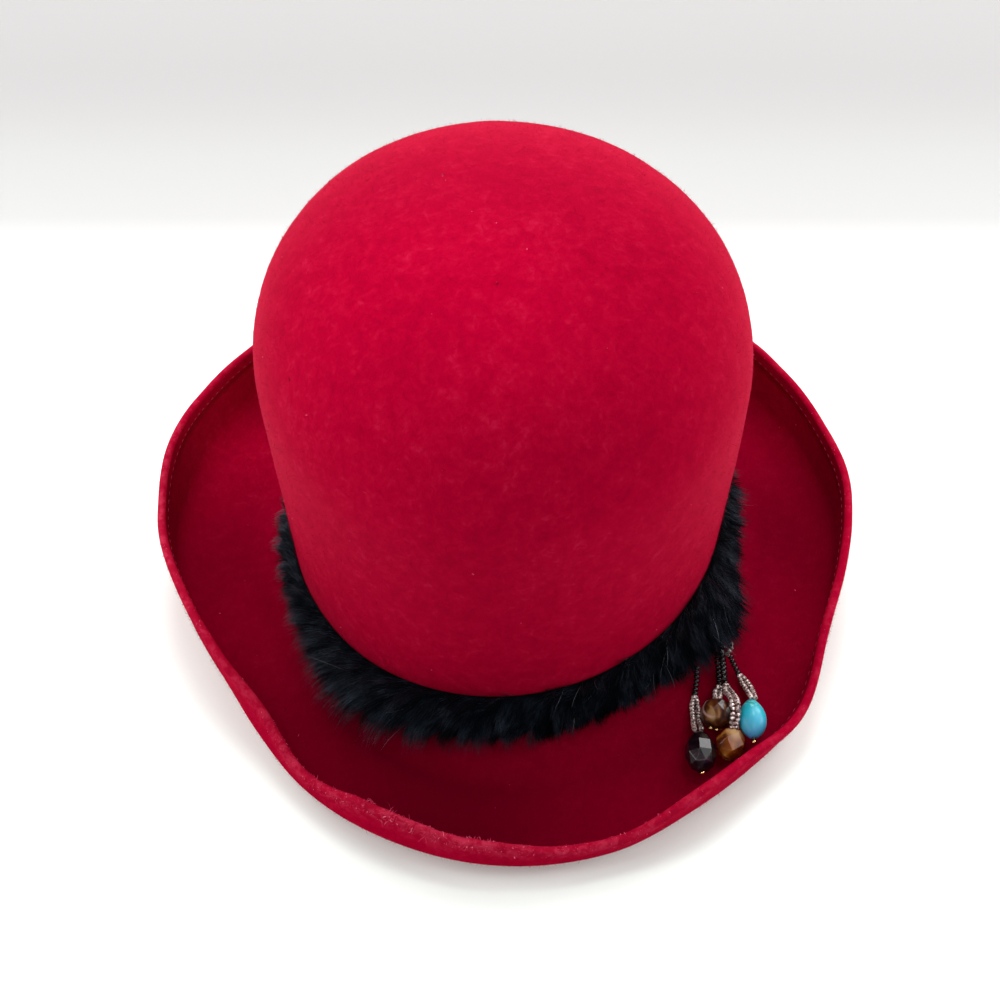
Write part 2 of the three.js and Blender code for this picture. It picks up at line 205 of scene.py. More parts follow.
def mesh_piece(name, points, faces, material=None):
    """A smooth-shaded mesh piece from points in metres."""
    mesh = bpy.data.meshes.new(name)
    mesh.from_pydata([tuple(map(float, p)) for p in points], [], faces)
    mesh.polygons.foreach_set("use_smooth", [True] * len(mesh.polygons))
    mesh.update()
    if material:
        mesh.materials.append(material)
    return in_scene(name, mesh)


def linear(hex_colour):
    """sRGB hex to the linear colour that shaders take."""
    values = [int(hex_colour[i:i + 2], 16) / 255 for i in (1, 3, 5)]
    return [v / 12.92 if v <= 0.04045 else ((v + 0.055) / 1.055) ** 2.4 for v in values] + [1]


def feed(tree, node, sockets):
    """Sets sockets to a number, a colour, another node's output, or a node for its first output."""
    for key, value in sockets.items():
        if isinstance(value, bpy.types.Node):
            value = value.outputs[0]
        if isinstance(value, bpy.types.NodeSocket):
            tree.links.new(value, node.inputs[key])
        else:
            node.inputs[key].default_value = value


def add_node(tree, kind, sockets={}, **settings):
    """Adds a node with its settings and sockets."""
    added = tree.nodes.new(kind)
    for key, value in settings.items():
        setattr(added, key, value)
    feed(tree, added, sockets)
    return added


def new_material(name, **shader_values):
    """A material with its shader's uniform values set, ready for its pattern nodes."""
    material = bpy.data.materials.new(name)
    material.use_nodes = True
    tree = material.node_tree
    tree.nodes.clear()
    sockets = {key.replace("_", " "): value for key, value in shader_values.items()}
    shader = add_node(tree, "ShaderNodeBsdfPrincipled", sockets)
    add_node(tree, "ShaderNodeOutputMaterial", {"Surface": shader})
    return material, tree, shader


def set_ramp(ramp, stops):
    """Fills a colour ramp from (place, colour) pairs."""
    elements = ramp.color_ramp.elements
    while len(elements) > len(stops):
        elements.remove(elements[-1])
    while len(elements) < len(stops):
        elements.new(1)
    for element, (place, colour) in zip(elements, stops):
        element.position = place
        element.color = linear(colour)


# Wool felt, dyed in the piece and brushed: no weave, a matt body colour mottled by matted tufts 4
# to 8 mm across, short fibres lying every way, and a bloom of light at glancing angles. Its colour
# also has painted light in it: a painted pool of light on the front left of the dome, painted shade
# inside the brim, and a paler rim that is partly wear and partly painted sheen.
PAINTED_LIGHT_CENTRE = (-0.03, -0.06, 0.165)   # metres, on the front left of the dome
wool_felt, tree, shader = new_material(
    "brushed_wool_felt", Roughness=0.95, Specular_IOR_Level=0.0, Sheen_Roughness=0.38,
    Sheen_Tint=linear("#FF5870"))
place = add_node(tree, "ShaderNodeTexCoord").outputs["Object"]
tufts, strokes, fibres, brushing = (add_node(tree, "ShaderNodeTexNoise", {
    "Vector": place, "Scale": 1 / (size * MM), "Detail": detail, "Roughness": roughness,
    "Distortion": distortion}) for size, detail, roughness, distortion in (
        (5.5, 2.0, 0.6, 0.5), (2.4, 1.0, 0.55, 1.2), (0.55, 2.0, 0.6, 1.2), (34, 2.0, 0.5, 0.5)))
even = add_node(tree, "ShaderNodeMix", {
    0: 0.42, 2: tufts, 3: strokes}, data_type="FLOAT")
mottle = add_node(tree, "ShaderNodeMath", {
    0: brushing, 1: 0.2, 2: even}, operation="MULTIPLY_ADD")
tone = add_node(tree, "ShaderNodeValToRGB", {"Fac": mottle})
set_ramp(tone, [(0.4, "#8E0022"), (0.58, "#980025"), (0.7, "#9D0428"), (0.84, "#A61034")])
# The paler rim is partly wear and pilling, partly painted sheen.
wear_and_sheen = add_node(tree, "ShaderNodeAttribute", attribute_name="rim_wear_and_sheen")
broken = add_node(tree, "ShaderNodeMapRange", {
    "Value": mottle, "From Min": 0.52, "From Max": 0.72, "To Min": 0.2},
                  interpolation_type="SMOOTHSTEP")
pilled_and_sheen = add_node(tree, "ShaderNodeMath", {0: wear_and_sheen.outputs["Fac"], 1: broken},
                  operation="MULTIPLY")
rubbed_and_sheen = add_node(tree, "ShaderNodeMix", {
    0: pilled_and_sheen, 6: tone, 7: linear("#C23C58")}, data_type="RGBA")
brim_shade = add_node(tree, "ShaderNodeAttribute", attribute_name="brim_painted_shade")
bloom = add_node(tree, "ShaderNodeMapRange", {
    "Value": brim_shade.outputs["Fac"], "To Min": 0.34, "To Max": 0.04})
up_there = add_node(tree, "ShaderNodeSeparateXYZ", {"Vector": place}).outputs["Z"]
raised = add_node(tree, "ShaderNodeMapRange", {
    "Value": up_there, "From Min": 45 * MM, "From Max": 100 * MM, "To Min": 0.25, "To Max": 1.0})
bloom = add_node(tree, "ShaderNodeMath", {0: bloom, 1: raised},
                 operation="MULTIPLY")
feed(tree, shader, {"Sheen Weight": bloom})
# Painted shade: the brim's colour is mixed towards a dark red.
painted_brim_shade = add_node(tree, "ShaderNodeMath", {0: brim_shade.outputs["Fac"], 1: 0.56},
                    operation="MULTIPLY")
body_colour = add_node(tree, "ShaderNodeMix", {
    0: painted_brim_shade, 6: rubbed_and_sheen.outputs[2], 7: linear("#590014")}, data_type="RGBA")
# Painted light: the colour is lightened round a point on the front left of the dome.
from_painted_light = add_node(tree, "ShaderNodeVectorMath", {0: place, 1: PAINTED_LIGHT_CENTRE}, operation="DISTANCE")
painted_light = add_node(tree, "ShaderNodeMapRange", {
    "Value": from_painted_light.outputs["Value"], "From Min": 25 * MM, "From Max": 80 * MM, "To Min": 1.23,
    "To Max": 1.0}, interpolation_type="SMOOTHSTEP")
shade = add_node(tree, "ShaderNodeHueSaturation", {
    "Color": body_colour.outputs[2], "Value": painted_light})
feed(tree, shader, {"Base Color": shade})
relief = add_node(tree, "ShaderNodeMix", {
    0: 0.5, 2: mottle, 3: fibres}, data_type="FLOAT")
bump = add_node(tree, "ShaderNodeBump", {
    "Strength": 0.45, "Distance": 0.3 * MM, "Height": relief})
feed(tree, shader, {"Normal": bump})

azimuths = np.arange(DIVISIONS) * 360 / DIVISIONS
WORN_FRONT = 262               # azimuth where hands take hold of the rim
WANDER = 0.6                   # how far the rim strays from a true line
WANDER_RINGS = 14              # rings either side of the edge that stray with it
DENT_FROM = 40                 # above this height the felt swells away from the crown's middle


def hump(azimuth, width):
    """Values round the hat: 1 at an azimuth, fading to 0 on either side."""
    return np.exp(-(((azimuths - azimuth) / width) ** 2))


def to_hat(points):
    """Millimetres from the crown's axis to metres in the hat's own frame."""
    return (np.array(points) + crown_axis) * MM


def mark(piece, name, values):
    """Stores one number at each point of a piece, for shaders to read."""
    piece.data.attributes.new(name, "FLOAT", "POINT").data.foreach_set("value", values)


upper, edge, under = felt_sides(azimuths)
tips = [crown_point(0, 0, CROWN_HEIGHT + FELT), crown_point(0, 0, CROWN_HEIGHT)]
hood_points, hood_faces = loft(np.concatenate([upper, edge, under]), tips)
hood_points = np.array(hood_points)
low, high = (np.array(corner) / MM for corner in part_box("felt_body"))
crown_axis = (low + high) / 2 - (hood_points.min(0) + hood_points.max(0)) / 2
crown_axis[2] = 0              # the felt stands on the surface

# Blocked felt is never quite even: the upper side swells and sinks by a quarter of a millimetre,
# and more where the rim is rubbed along the front.
upper_count = len(upper) * DIVISIONS
centre = np.array([0, 0, 60])
rubbed_away = hump(WORN_FRONT, 25)
for index in range(upper_count + len(edge) * DIVISIONS):
    point = hood_points[index]
    swell = 0.3 * noise.noise(Vector(point / 38)) + 0.12 * noise.noise(Vector(point / 11))
    if index >= upper_count - 2 * DIVISIONS:
        swell += 1.2 * rubbed_away[index % DIVISIONS] * noise.noise(Vector(point / 5))
    outward = point - centre if point[2] > DENT_FROM else np.array([0, 0, 1])
    hood_points[index] = point + outward / np.linalg.norm(outward) * swell

# Nor was the rim cut on a true line.
rings_to_edge = len(upper) + len(edge) / 2
hood_rings = hood_points[:-2].reshape(-1, DIVISIONS, 3)
for column, turn in enumerate(np.radians(azimuths)):
    outward = np.array([math.cos(turn), math.sin(turn), 0])
    wander = noise.noise(Vector(outward * 6)) * outward * WANDER
    wander[2] = WANDER * noise.noise(Vector(outward * 5) + Vector((0, 0, 9)))
    for ring in range(int(rings_to_edge) - WANDER_RINGS + 1, int(rings_to_edge) + WANDER_RINGS):
        hood_rings[ring, column] += wander * (1 - abs(ring - rings_to_edge) / WANDER_RINGS)
felt_hood = mesh_piece("felt_hood", to_hat(hood_points), hood_faces, wool_felt)

# The rim is paler: partly rubbed and pilled, partly painted sheen. It is palest along the front and
# on the wearer's right, and fades to clean felt past it.
wear_and_sheen_here = 0.15 + 0.3 * hump(WORN_FRONT, 38) + 0.38 * hump(190, 25)
from_edge = np.arange(len(hood_rings)) - rings_to_edge
fade = np.exp(-((from_edge / np.where(from_edge < 0, 3, 6)) ** 2))
mark(felt_hood, "rim_wear_and_sheen", np.append(np.outer(fade, wear_and_sheen_here), [0, 0]))

# Painted shade: the inside of the brim is painted darker, by a different amount on each side. It is
# also ironed flat and stiff, so its nap lies close and has less sheen.
# azimuth, how much painted shade, which also takes away sheen
BRIM_SHADE = [(0, 1.32), (30, 0.62), (90, 0.6), (150, 0), (172, 0.72), (190, 1.15), (212, 1.0),
          (232, 1.3), (254, 1.65), (268, 1.65), (284, 1.35), (310, 1.15), (335, 0.95)]
FIRST_SHADED_RINGS = (45, 52)  # the painted shade deepens in two steps, each over six rings
rising = sum(0.5 * np.clip((np.arange(len(upper)) - first) / 6, 0, 1)
             for first in FIRST_SHADED_RINGS)
brim_shade_amount = np.zeros(len(hood_points))
brim_shade_amount[:upper_count] = np.outer(rising, around(BRIM_SHADE, 1, azimuths)).ravel()
mark(felt_hood, "brim_painted_shade", brim_shade_amount)
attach(felt_hood, "root")
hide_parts("felt_body")


# ---- Hem stitching ----
# The folded rim is held by one row of machine stitches in matching thread, 5 mm below the edge on
# the inner side. Each stitch is a short length of thread that dips into the felt at both ends.

STITCH_LENGTH = 2.3
STITCH_PITCH = 4
THREAD_WIDTH = 0.55


def turned_shape(name, profile, sides):
    """A small turned shape along +Z from (radius, height) pairs in millimetres, lowest first."""
    rings = [[(r * math.cos(a) * MM, r * math.sin(a) * MM, h * MM)
              for a in np.arange(sides) * 2 * math.pi / sides] for r, h in profile[::-1]]
    points, faces = loft(np.array(rings))
    bottom = range(len(points) - 1, len(points) - 1 - sides, -1)
    return mesh_piece(name, points, faces + [tuple(range(sides)), tuple(bottom)])


def new_tree(name, inputs):
    """A Geometry Nodes tree with its named inputs; returns it with its input and output nodes."""
    tree = bpy.data.node_groups.new(name, "GeometryNodeTree")
    tree.interface.new_socket("Geometry", in_out="INPUT", socket_type="NodeSocketGeometry")
    for label, kind in inputs:
        tree.interface.new_socket(label, in_out="INPUT", socket_type="NodeSocket" + kind)
    tree.interface.new_socket("Geometry", in_out="OUTPUT", socket_type="NodeSocketGeometry")
    return tree, tree.nodes.new("NodeGroupInput").outputs


def set_shapes(tree, given, points, material, **placing):
    """The tree's shape at points, made real, in one of the tree's materials."""
    shape = add_node(tree, "GeometryNodeObjectInfo", {"Object": given["Shape"]})
    placed = add_node(tree, "GeometryNodeInstanceOnPoints", {
        "Points": points, "Instance": shape.outputs["Geometry"], **placing})
    real = add_node(tree, "GeometryNodeRealizeInstances", {"Geometry": placed})
    return add_node(tree, "GeometryNodeSetMaterial", {
        "Geometry": real, "Material": given[material]})


# Tree that sets one shape after another along a line, on a thread that runs through them all.
along_line, given = new_tree("set_along_line", [
    ("Shape", "Object"), ("Pitch", "Float"), ("Thread radius", "Float"),
    ("Shape material", "Material"), ("Thread material", "Material")])
route = add_node(along_line, "GeometryNodeMeshToCurve", {"Mesh": given["Geometry"]})
spots = add_node(along_line, "GeometryNodeCurveToPoints", {
    "Curve": route, "Length": given["Pitch"]}, mode="LENGTH")
shapes = set_shapes(along_line, given, spots, "Shape material",
                    Rotation=spots.outputs["Rotation"])
ring = add_node(along_line, "GeometryNodeCurvePrimitiveCircle", {
    "Resolution": 5, "Radius": given["Thread radius"]})
tube = add_node(along_line, "GeometryNodeCurveToMesh", {
    "Curve": route, "Profile Curve": ring})
thread = add_node(along_line, "GeometryNodeSetMaterial", {
    "Geometry": tube, "Material": given["Thread material"]})
both = add_node(along_line, "GeometryNodeJoinGeometry", {"Geometry": shapes})
feed(along_line, both, {"Geometry": thread})
add_node(along_line, "NodeGroupOutput", {"Geometry": both})


def run_tree(tree, source, name, values):
    """Runs a tree on a source and returns what it makes as a plain mesh piece."""
    modifier = source.modifiers.new(name, "NODES")
    modifier.node_group = tree
    for socket in tree.interface.items_tree:
        if socket.in_out == "INPUT" and socket.name in values:
            modifier[socket.identifier] = values[socket.name]
    evaluated = source.evaluated_get(bpy.context.evaluated_depsgraph_get())
    mesh = bpy.data.meshes.new_from_object(evaluated)
    source.modifiers.remove(modifier)
    mesh.name = name
    return in_scene(name, mesh)


def line_piece(name, lines, closed=False):
    """Lines of points in metres, as edges only, for a tree to follow."""
    points, edges = [], []
    for line in lines:
        first = len(points)
        points += [tuple(map(float, p)) for p in line]
        edges += [(first + i, first + i + 1) for i in range(len(line) - 1)]
        if closed:
            edges.append((first + len(line) - 1, first))
    piece = mesh_piece(name, points, [])
    piece.data.clear_geometry()
    piece.data.from_pydata(points, edges, [])
    return piece


# Cotton sewing thread in the felt's red, a little lighter because the twist catches the light.
cotton_thread, *_ = new_material(
    "mercerised_cotton_thread", Base_Color=linear("#96203A"), Roughness=0.6, Specular_IOR_Level=0.2)

capsule = [(0.12, -0.5), (0.42, -0.36), (0.5, -0.12), (0.5, 0.12), (0.42, 0.36), (0.12, 0.5)]
stitch_shape = turned_shape(
    "stitch_shape", [(r * THREAD_WIDTH, h * STITCH_LENGTH) for r, h in capsule], 6)
seam = hood_rings[len(upper) - 5] * 0.96 + hood_rings[4 - len(under)] * 0.04
stitch_line = line_piece("stitch_line", [to_hat(seam)], closed=True)
hem_stitches = run_tree(along_line, stitch_line, "hem_stitches", {
    "Shape": stitch_shape, "Pitch": STITCH_PITCH * MM, "Thread radius": 0.06 * MM,
    "Shape material": cotton_thread, "Thread material": cotton_thread})
for helper in (stitch_shape, stitch_line):
    bpy.data.objects.remove(helper)
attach(hem_stitches, "root")


# ---- Nap ----
# Brushed felt ends in loose wool fibres about a millimetre long that lean this way and that in
# patches. They blur the outline. Along the front of the rim they are rubbed into longer pills.

# Tree that grows ribbons from a surface. The surface carries the vector "lay": the way a hair
# points and how long it is. Hairs of one clump lean in to its middle, and all droop.
tree, given = new_tree("grow_hair", [
    ("Shape", "Object"), ("Density", "Float"), ("Seed", "Int"), ("Width", "Float"),
    ("Shortest", "Float"), ("Longest", "Float"), ("Unruly", "Float"), ("Clump size", "Float"),
    ("Clump pull", "Float"), ("Twist", "Float"), ("Hair material", "Material")])
grow_hair, seed = tree, given["Seed"]
roots = add_node(tree, "GeometryNodeDistributePointsOnFaces", {
    "Mesh": given["Geometry"], "Density": given["Density"], "Seed": seed})
root = add_node(tree, "GeometryNodeInputPosition")
lay = add_node(tree, "GeometryNodeInputNamedAttribute", {"Name": "lay"},
               data_type="FLOAT_VECTOR").outputs["Attribute"]
length = add_node(tree, "ShaderNodeVectorMath", {0: lay}, operation="LENGTH").outputs["Value"]
per_metre = add_node(tree, "ShaderNodeMath", {0: 1.0, 1: given["Clump size"]}, operation="DIVIDE")
clump = add_node(tree, "ShaderNodeTexVoronoi", {
    "Vector": root, "Scale": per_metre}).outputs["Position"]
to_clump = add_node(tree, "ShaderNodeVectorMath", {0: clump, 1: root}, operation="SUBTRACT")
pulled = add_node(tree, "ShaderNodeVectorMath", {
    0: to_clump, "Scale": given["Clump pull"]}, operation="SCALE")
stray = add_node(tree, "FunctionNodeRandomValue", {
    0: (-1, -1, -1), 1: (1, 1, 1), "Seed": seed}, data_type="FLOAT_VECTOR")
unruly = add_node(tree, "ShaderNodeMath", {0: length, 1: given["Unruly"]}, operation="MULTIPLY")
strayed = add_node(tree, "ShaderNodeVectorMath", {
    0: stray.outputs["Value"], "Scale": unruly}, operation="SCALE")
leaning = add_node(tree, "ShaderNodeVectorMath", {0: lay, 1: pulled}, operation="ADD")
heading = add_node(tree, "ShaderNodeVectorMath", {0: leaning, 1: strayed}, operation="ADD")
aimed = add_node(tree, "FunctionNodeAlignRotationToVector", {"Vector": heading}, axis="Z")
drooped = add_node(tree, "FunctionNodeAlignRotationToVector", {
    "Rotation": aimed, "Vector": (0, 0, -1)}, axis="X", pivot_axis="Z")
other_way = add_node(tree, "ShaderNodeMath", {0: given["Twist"], 1: -1.0}, operation="MULTIPLY")
spin, share = (add_node(tree, "FunctionNodeRandomValue", {
    2: least, 3: most, "Seed": seed}, data_type="FLOAT").outputs[1] for least, most in (
        (other_way, given["Twist"]), (given["Shortest"], given["Longest"])))
axis_turn = add_node(tree, "FunctionNodeAxisAngleToRotation", {"Axis": (0, 0, 1), "Angle": spin})
turned = add_node(tree, "FunctionNodeRotateRotation", {
    "Rotation": drooped, "Rotate By": axis_turn}, rotation_space="LOCAL")
grown = add_node(tree, "ShaderNodeMath", {0: length, 1: share}, operation="MULTIPLY")
size = add_node(tree, "ShaderNodeCombineXYZ", {0: grown, 1: given["Width"], 2: grown})
hairs = set_shapes(tree, given, roots, "Hair material", Rotation=turned, Scale=size)
add_node(tree, "NodeGroupOutput", {"Geometry": hairs})


def ribbon_shape(name, stations):
    """A hair one unit long along +Z, bending towards +X, from (height, bend, half-width) rows."""
    points, faces = [], []
    for height, bend, half in stations[:-1]:
        points += [(bend, -half, height), (bend, half, height)]
    for k in range(len(stations) - 2):
        faces.append((2 * k, 2 * k + 1, 2 * k + 3, 2 * k + 2))
    last = len(points)
    points.append((stations[-1][1], 0, stations[-1][0]))
    faces.append((last - 2, last - 1, last))
    return mesh_piece(name, points, faces)


def set_lay(piece, lay):
    """Stores which way hair points at each point of a surface, and how long it is."""
    piece.data.attributes.new("lay", "FLOAT_VECTOR", "POINT").data.foreach_set(
        "vector", np.array(lay, float).ravel())


def normals_and_swirl(piece, patch):
    """The way each point of a surface faces, and directions that drift over patches in mm."""
    normals = np.zeros(len(piece.data.vertices) * 3)
    piece.data.vertex_normals.foreach_get("vector", normals)
    swirl = [[noise.noise(v.co / (patch * MM) + Vector((apart, 0, 0)))
              for apart in (0, 31.4, 57.3)] for v in piece.data.vertices]
    return normals.reshape(-1, 3), np.array(swirl)


def grow(name, source, shape, material, density, seed, width, lengths, unruly, clumps, twist):
    """Hair from a surface. Lengths: least and most share of its lay. Clumps: size and pull."""
    return run_tree(grow_hair, source, name, {
        "Shape": shape, "Hair material": material, "Density": float(density), "Seed": seed,
        "Width": width * MM, "Shortest": lengths[0], "Longest": lengths[1], "Unruly": unruly,
        "Clump size": clumps[0] * MM, "Clump pull": clumps[1], "Twist": twist})


NAP_LENGTH = 1.3
PILL_LENGTH = 1.8

# Single wool fibres: half see-through against the light, so paler than the felt behind them. They
# are drawn 0.07 mm wide, three times the real width, or they would not show.
wool_fibre, tree, shader = new_material(
    "loose_wool_fibre", Roughness=0.8, Specular_IOR_Level=0.0, Sheen_Weight=0.2,
    Sheen_Tint=linear("#FF5068"))
# Painted shade: inside the brim the fibres are darkened like the felt.
brim_shade = add_node(tree, "ShaderNodeAttribute", attribute_name="brim_painted_shade")
fibre_colour = add_node(tree, "ShaderNodeMix", {
    0: brim_shade.outputs["Fac"], 6: linear("#9E062C"), 7: linear("#74001A")}, data_type="RGBA")
feed(tree, shader, {"Base Color": fibre_colour.outputs[2]})
pilled_fibre, *_ = new_material(
    "pilled_wool_fibre", Base_Color=linear("#C43C5A"), Roughness=0.9, Specular_IOR_Level=0.0)

# The nap covers all that shows from above and the outside of the curl, but not the brim's sole.
SOLE_RING = len(upper) + len(edge) + 20
HALF_TURN = 3.14               # a hair may be twisted this far either way
nap_source = mesh_piece("nap_source", *loft(to_hat(hood_rings[:SOLE_RING])))
normals, swirl = normals_and_swirl(nap_source, 7)
swirl -= normals * (swirl * normals).sum(1)[:, None]
swirl /= np.linalg.norm(swirl, axis=1)[:, None] + 1e-6
set_lay(nap_source, (normals * 0.5 + swirl * 0.85) * NAP_LENGTH * MM)
mark(nap_source, "brim_painted_shade", brim_shade_amount[:len(nap_source.data.vertices)])
fibre_shape = ribbon_shape("fibre_shape", [(0, 0, 0.5), (0.55, 0.08, 0.4), (1, 0.32, 0)])
felt_nap = grow("felt_nap", nap_source, fibre_shape, wool_fibre, 290000, 3, 0.07, (0.5, 1.4),
                0.5, (4, 0.1), HALF_TURN)

# Pilled stretch of the rim.
PILLED_FROM, PILLED_TO, MOST_PILLED = 231, 292, 257
pill_start, pill_end = (int(a / 360 * DIVISIONS) for a in (PILLED_FROM, PILLED_TO))
rim_start, rim_end = len(upper), len(upper) + len(edge)
pill_rings = hood_rings[rim_start - 3:rim_end + 3, pill_start:pill_end]
columns = pill_rings.shape[1]
pill_faces = [(i, i + columns, i + columns + 1, i + 1) for k in range(len(pill_rings) - 1)
              for i in range(k * columns, (k + 1) * columns - 1)]
pill_source = mesh_piece("pill_source", to_hat(pill_rings.reshape(-1, 3)), pill_faces)
normals, swirl = normals_and_swirl(pill_source, 3)
grip = np.tile((0.4 + 1.1 * hump(MOST_PILLED, 10))[pill_start:pill_end], len(pill_rings))
set_lay(pill_source, (normals * 0.15 + swirl * 1.3) * grip[:, None] * PILL_LENGTH * MM)
pill_shape = ribbon_shape("pill_shape", [
    (0, 0, 0.5), (0.3, 0.16, 0.5), (0.6, 0.42, 0.45), (0.8, 0.75, 0.3), (0.86, 1.05, 0)])
rim_pills = grow("rim_pills", pill_source, pill_shape, pilled_fibre, 900000, 8, 0.16, (0.3, 1.1),
                 0.5, (4, 0.9), HALF_TURN)

# Specks of lint and pulled fibre caught on the felt, and pale flecks all round the rim.
lint_fibre, *_ = new_material(
    "pale_lint", Base_Color=linear("#D45C78"), Roughness=0.8, Specular_IOR_Level=0.1)
felt_lint = grow("felt_lint", nap_source, pill_shape, pilled_fibre, 800, 14, 0.5, (0.25, 0.7),
                 0.5, (4, 0.0), HALF_TURN)
rim_lint = grow("rim_lint", pill_source, pill_shape, lint_fibre, 110000, 31, 0.4, (0.3, 1.0),
                0.6, (9, 0.6), HALF_TURN)
fleck_source = mesh_piece("fleck_source", *loft(to_hat(hood_rings[rim_start - 1:rim_end + 1])))
normals, swirl = normals_and_swirl(fleck_source, 3)
set_lay(fleck_source, (normals * 0.1 + swirl * 1.3) * MM)
rim_flecks = grow("rim_flecks", fleck_source, pill_shape, lint_fibre, 70000, 6, 0.24, (0.3, 1.0),
                  0.6, (4, 0.3), HALF_TURN)
for helper in (nap_source, fibre_shape, pill_source, fleck_source, pill_shape):
    bpy.data.objects.remove(helper)
for piece in (felt_nap, rim_pills, felt_lint, rim_lint, rim_flecks):
    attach(piece, "root")


# ---- Fur band ----
# A strip of black fur on its hide, laid round the foot of the crown and tacked down. The hide is
# covered by soft underfur in clumps, and longer, glossier guard hairs stand out past it.

# azimuth, how far the fur stands off the crown, and the height of its upper edge
FUR = [
    (0, 11, 35), (30, 9, 31), (90, 9, 28), (150, 9, 27), (180, 8.5, 26), (205, 9, 25),
    (228, 11.5, 26), (246, 13.5, 27), (262, 11.5, 28), (285, 9.5, 31), (300, 9, 33),
    (312, 13, 34), (321, 17, 36), (329, 17, 36), (335, 12, 36), (345, 10.5, 36),
]
FUR_FOOT = 7.2
FUR_CLEARANCE = 0.4
FUR_LOWEST_TIP = 6.5           # so that the hairs lie on the brim and do not go through it
HIDE_SHARE = 0.5               # how much of the fur's thickness the hide and dense down take up
HAIR_PAST_FORM = 1.6           # how far the hair reaches past that thickness

# Dyed black fur: every hair is smooth and glossy, so the mass is near black. Soft grey patches in
# clumps are painted highlights, and painted light makes it paler towards the wearer's right.
fur_materials = []
for name, roughness, gloss, patch, stops in (
        ("dyed_fur_down", 0.75, 0.1, 6, [(0.38, "#010306"), (0.56, "#04080D"), (0.68, "#13181D")]),
        ("dyed_guard_hair", 0.45, 0.42, 5,
         [(0.4, "#010409"), (0.54, "#070C13"), (0.65, "#2C343C")])):
    material, tree, shader = new_material(
        name, Roughness=roughness, Specular_IOR_Level=gloss, Specular_Tint=linear("#9FB4D6"))
    place = add_node(tree, "ShaderNodeTexCoord").outputs["Object"]
    clumps = add_node(tree, "ShaderNodeTexNoise", {
        "Vector": place, "Scale": 1 / (patch * MM), "Detail": 3.0, "Distortion": 0.8})
    across = add_node(tree, "ShaderNodeSeparateXYZ", {"Vector": place})
    # Painted light: the colour is lighter towards -X and darker towards +X.
    painted_side_light = add_node(tree, "ShaderNodeMapRange", {
        "Value": across, "From Min": -0.09, "From Max": 0.07, "To Min": 0.085, "To Max": -0.13})
    total = add_node(tree, "ShaderNodeMath", {0: clumps, 1: painted_side_light})
    tone = add_node(tree, "ShaderNodeValToRGB", {"Fac": total})
    set_ramp(tone, stops)
    feed(tree, shader, {"Base Color": tone})
    fur_materials.append((material, tree, shader))
(fur_down, tree, shader), (guard_hair, *_) = fur_materials
strands = add_node(tree, "ShaderNodeTexNoise", {
    "Scale": 1 / (0.8 * MM), "Detail": 2.0, "Distortion": 1.5,
    "Vector": add_node(tree, "ShaderNodeTexCoord").outputs["Object"]})
bump = add_node(tree, "ShaderNodeBump", {
    "Strength": 0.8, "Distance": 0.6 * MM, "Height": strands})
feed(tree, shader, {"Normal": bump})
grey_hair, *_ = new_material(
    "undyed_grey_hair", Base_Color=linear("#6C7076"), Roughness=0.4)

over = np.radians(np.linspace(0, 180, 19))        # from the upper edge, over the outside, down
thick, top = around(FUR, 1, azimuths), around(FUR, 2, azimuths)
top -= 2 * hump(238, 18)       # parted fur shows the felt here
corner = hump(323, 9)          # the strip ends in a thick square corner
thin_end = hump(168, 15)       # and it is sheared thin towards the back
fuller = 7 * hump(240, 18) + 3.5 * corner - 4.2 * thin_end - 3 * hump(28, 15)
share = HIDE_SHARE + 0.25 * corner - 0.15 * thin_end
middle, half = (top + FUR_FOOT) / 2, (top - FUR_FOOT) / 2
turn = np.radians(azimuths)
outward = np.stack([np.cos(turn), np.sin(turn), 0 * turn], -1)
sideways = np.stack([np.sin(turn), -np.cos(turn), 0 * turn], -1)
hide_rings, lay_rings = [], []
for angle in over:
    upright = math.copysign(abs(math.cos(angle)) ** 0.7, math.cos(angle))
    height = middle + half * 0.86 * upright
    wall = oval_reach(side_half_width(np.maximum(height, SIDE_FOOT)), azimuths) + FELT
    bulge = (thick - FUR_CLEARANCE) * share * math.sin(angle) ** 0.7
    hide_rings.append(crown_point(azimuths, wall + FUR_CLEARANCE + bulge, height))
    direction = outward * (0.5 + 0.4 * math.sin(angle)) + sideways * 0.55
    direction[:, 2] -= -0.3 + 0.9 * (1 - math.cos(angle)) / 2
    direction /= np.linalg.norm(direction, axis=1)[:, None]
    hair = direction * (thick * (1 - share) + HAIR_PAST_FORM + fuller)[:, None]
    hair[:, 2] = np.maximum(hair[:, 2], FUR_LOWEST_TIP - height)
    lay_rings.append(hair * MM)
hair_source = mesh_piece("hair_source", *loft(to_hat(np.array(hide_rings))))
set_lay(hair_source, lay_rings)
foot = oval_reach(BLOCK_HALF_WIDTH, azimuths) + FELT + FUR_CLEARANCE
hide_rings.append(crown_point(azimuths, foot, middle))
fur_hide = mesh_piece("fur_hide", *loft(to_hat(np.array(hide_rings)), closed=True), fur_down)
hair_shape = ribbon_shape("hair_shape", [
    (0, 0, 0.5), (0.35, 0.04, 0.5), (0.7, 0.15, 0.36), (1, 0.36, 0)])
underfur = grow("underfur", hair_source, hair_shape, fur_down, 2300000, 11, 0.14, (0.5, 1.05),
                0.2, (8, 0.78), 0.9)
guard_hairs = grow("guard_hairs", hair_source, hair_shape, guard_hair, 1500000, 23, 0.08,
                   (0.7, 1.35), 0.22, (9, 0.72), 0.7)
stray_hairs = grow("stray_hairs", hair_source, hair_shape, grey_hair, 3000, 5, 0.09, (1.1, 1.7),
                   0.5, (7, 0.2), 1.5)
for helper in (hair_source, hair_shape):
    bpy.data.objects.remove(helper)

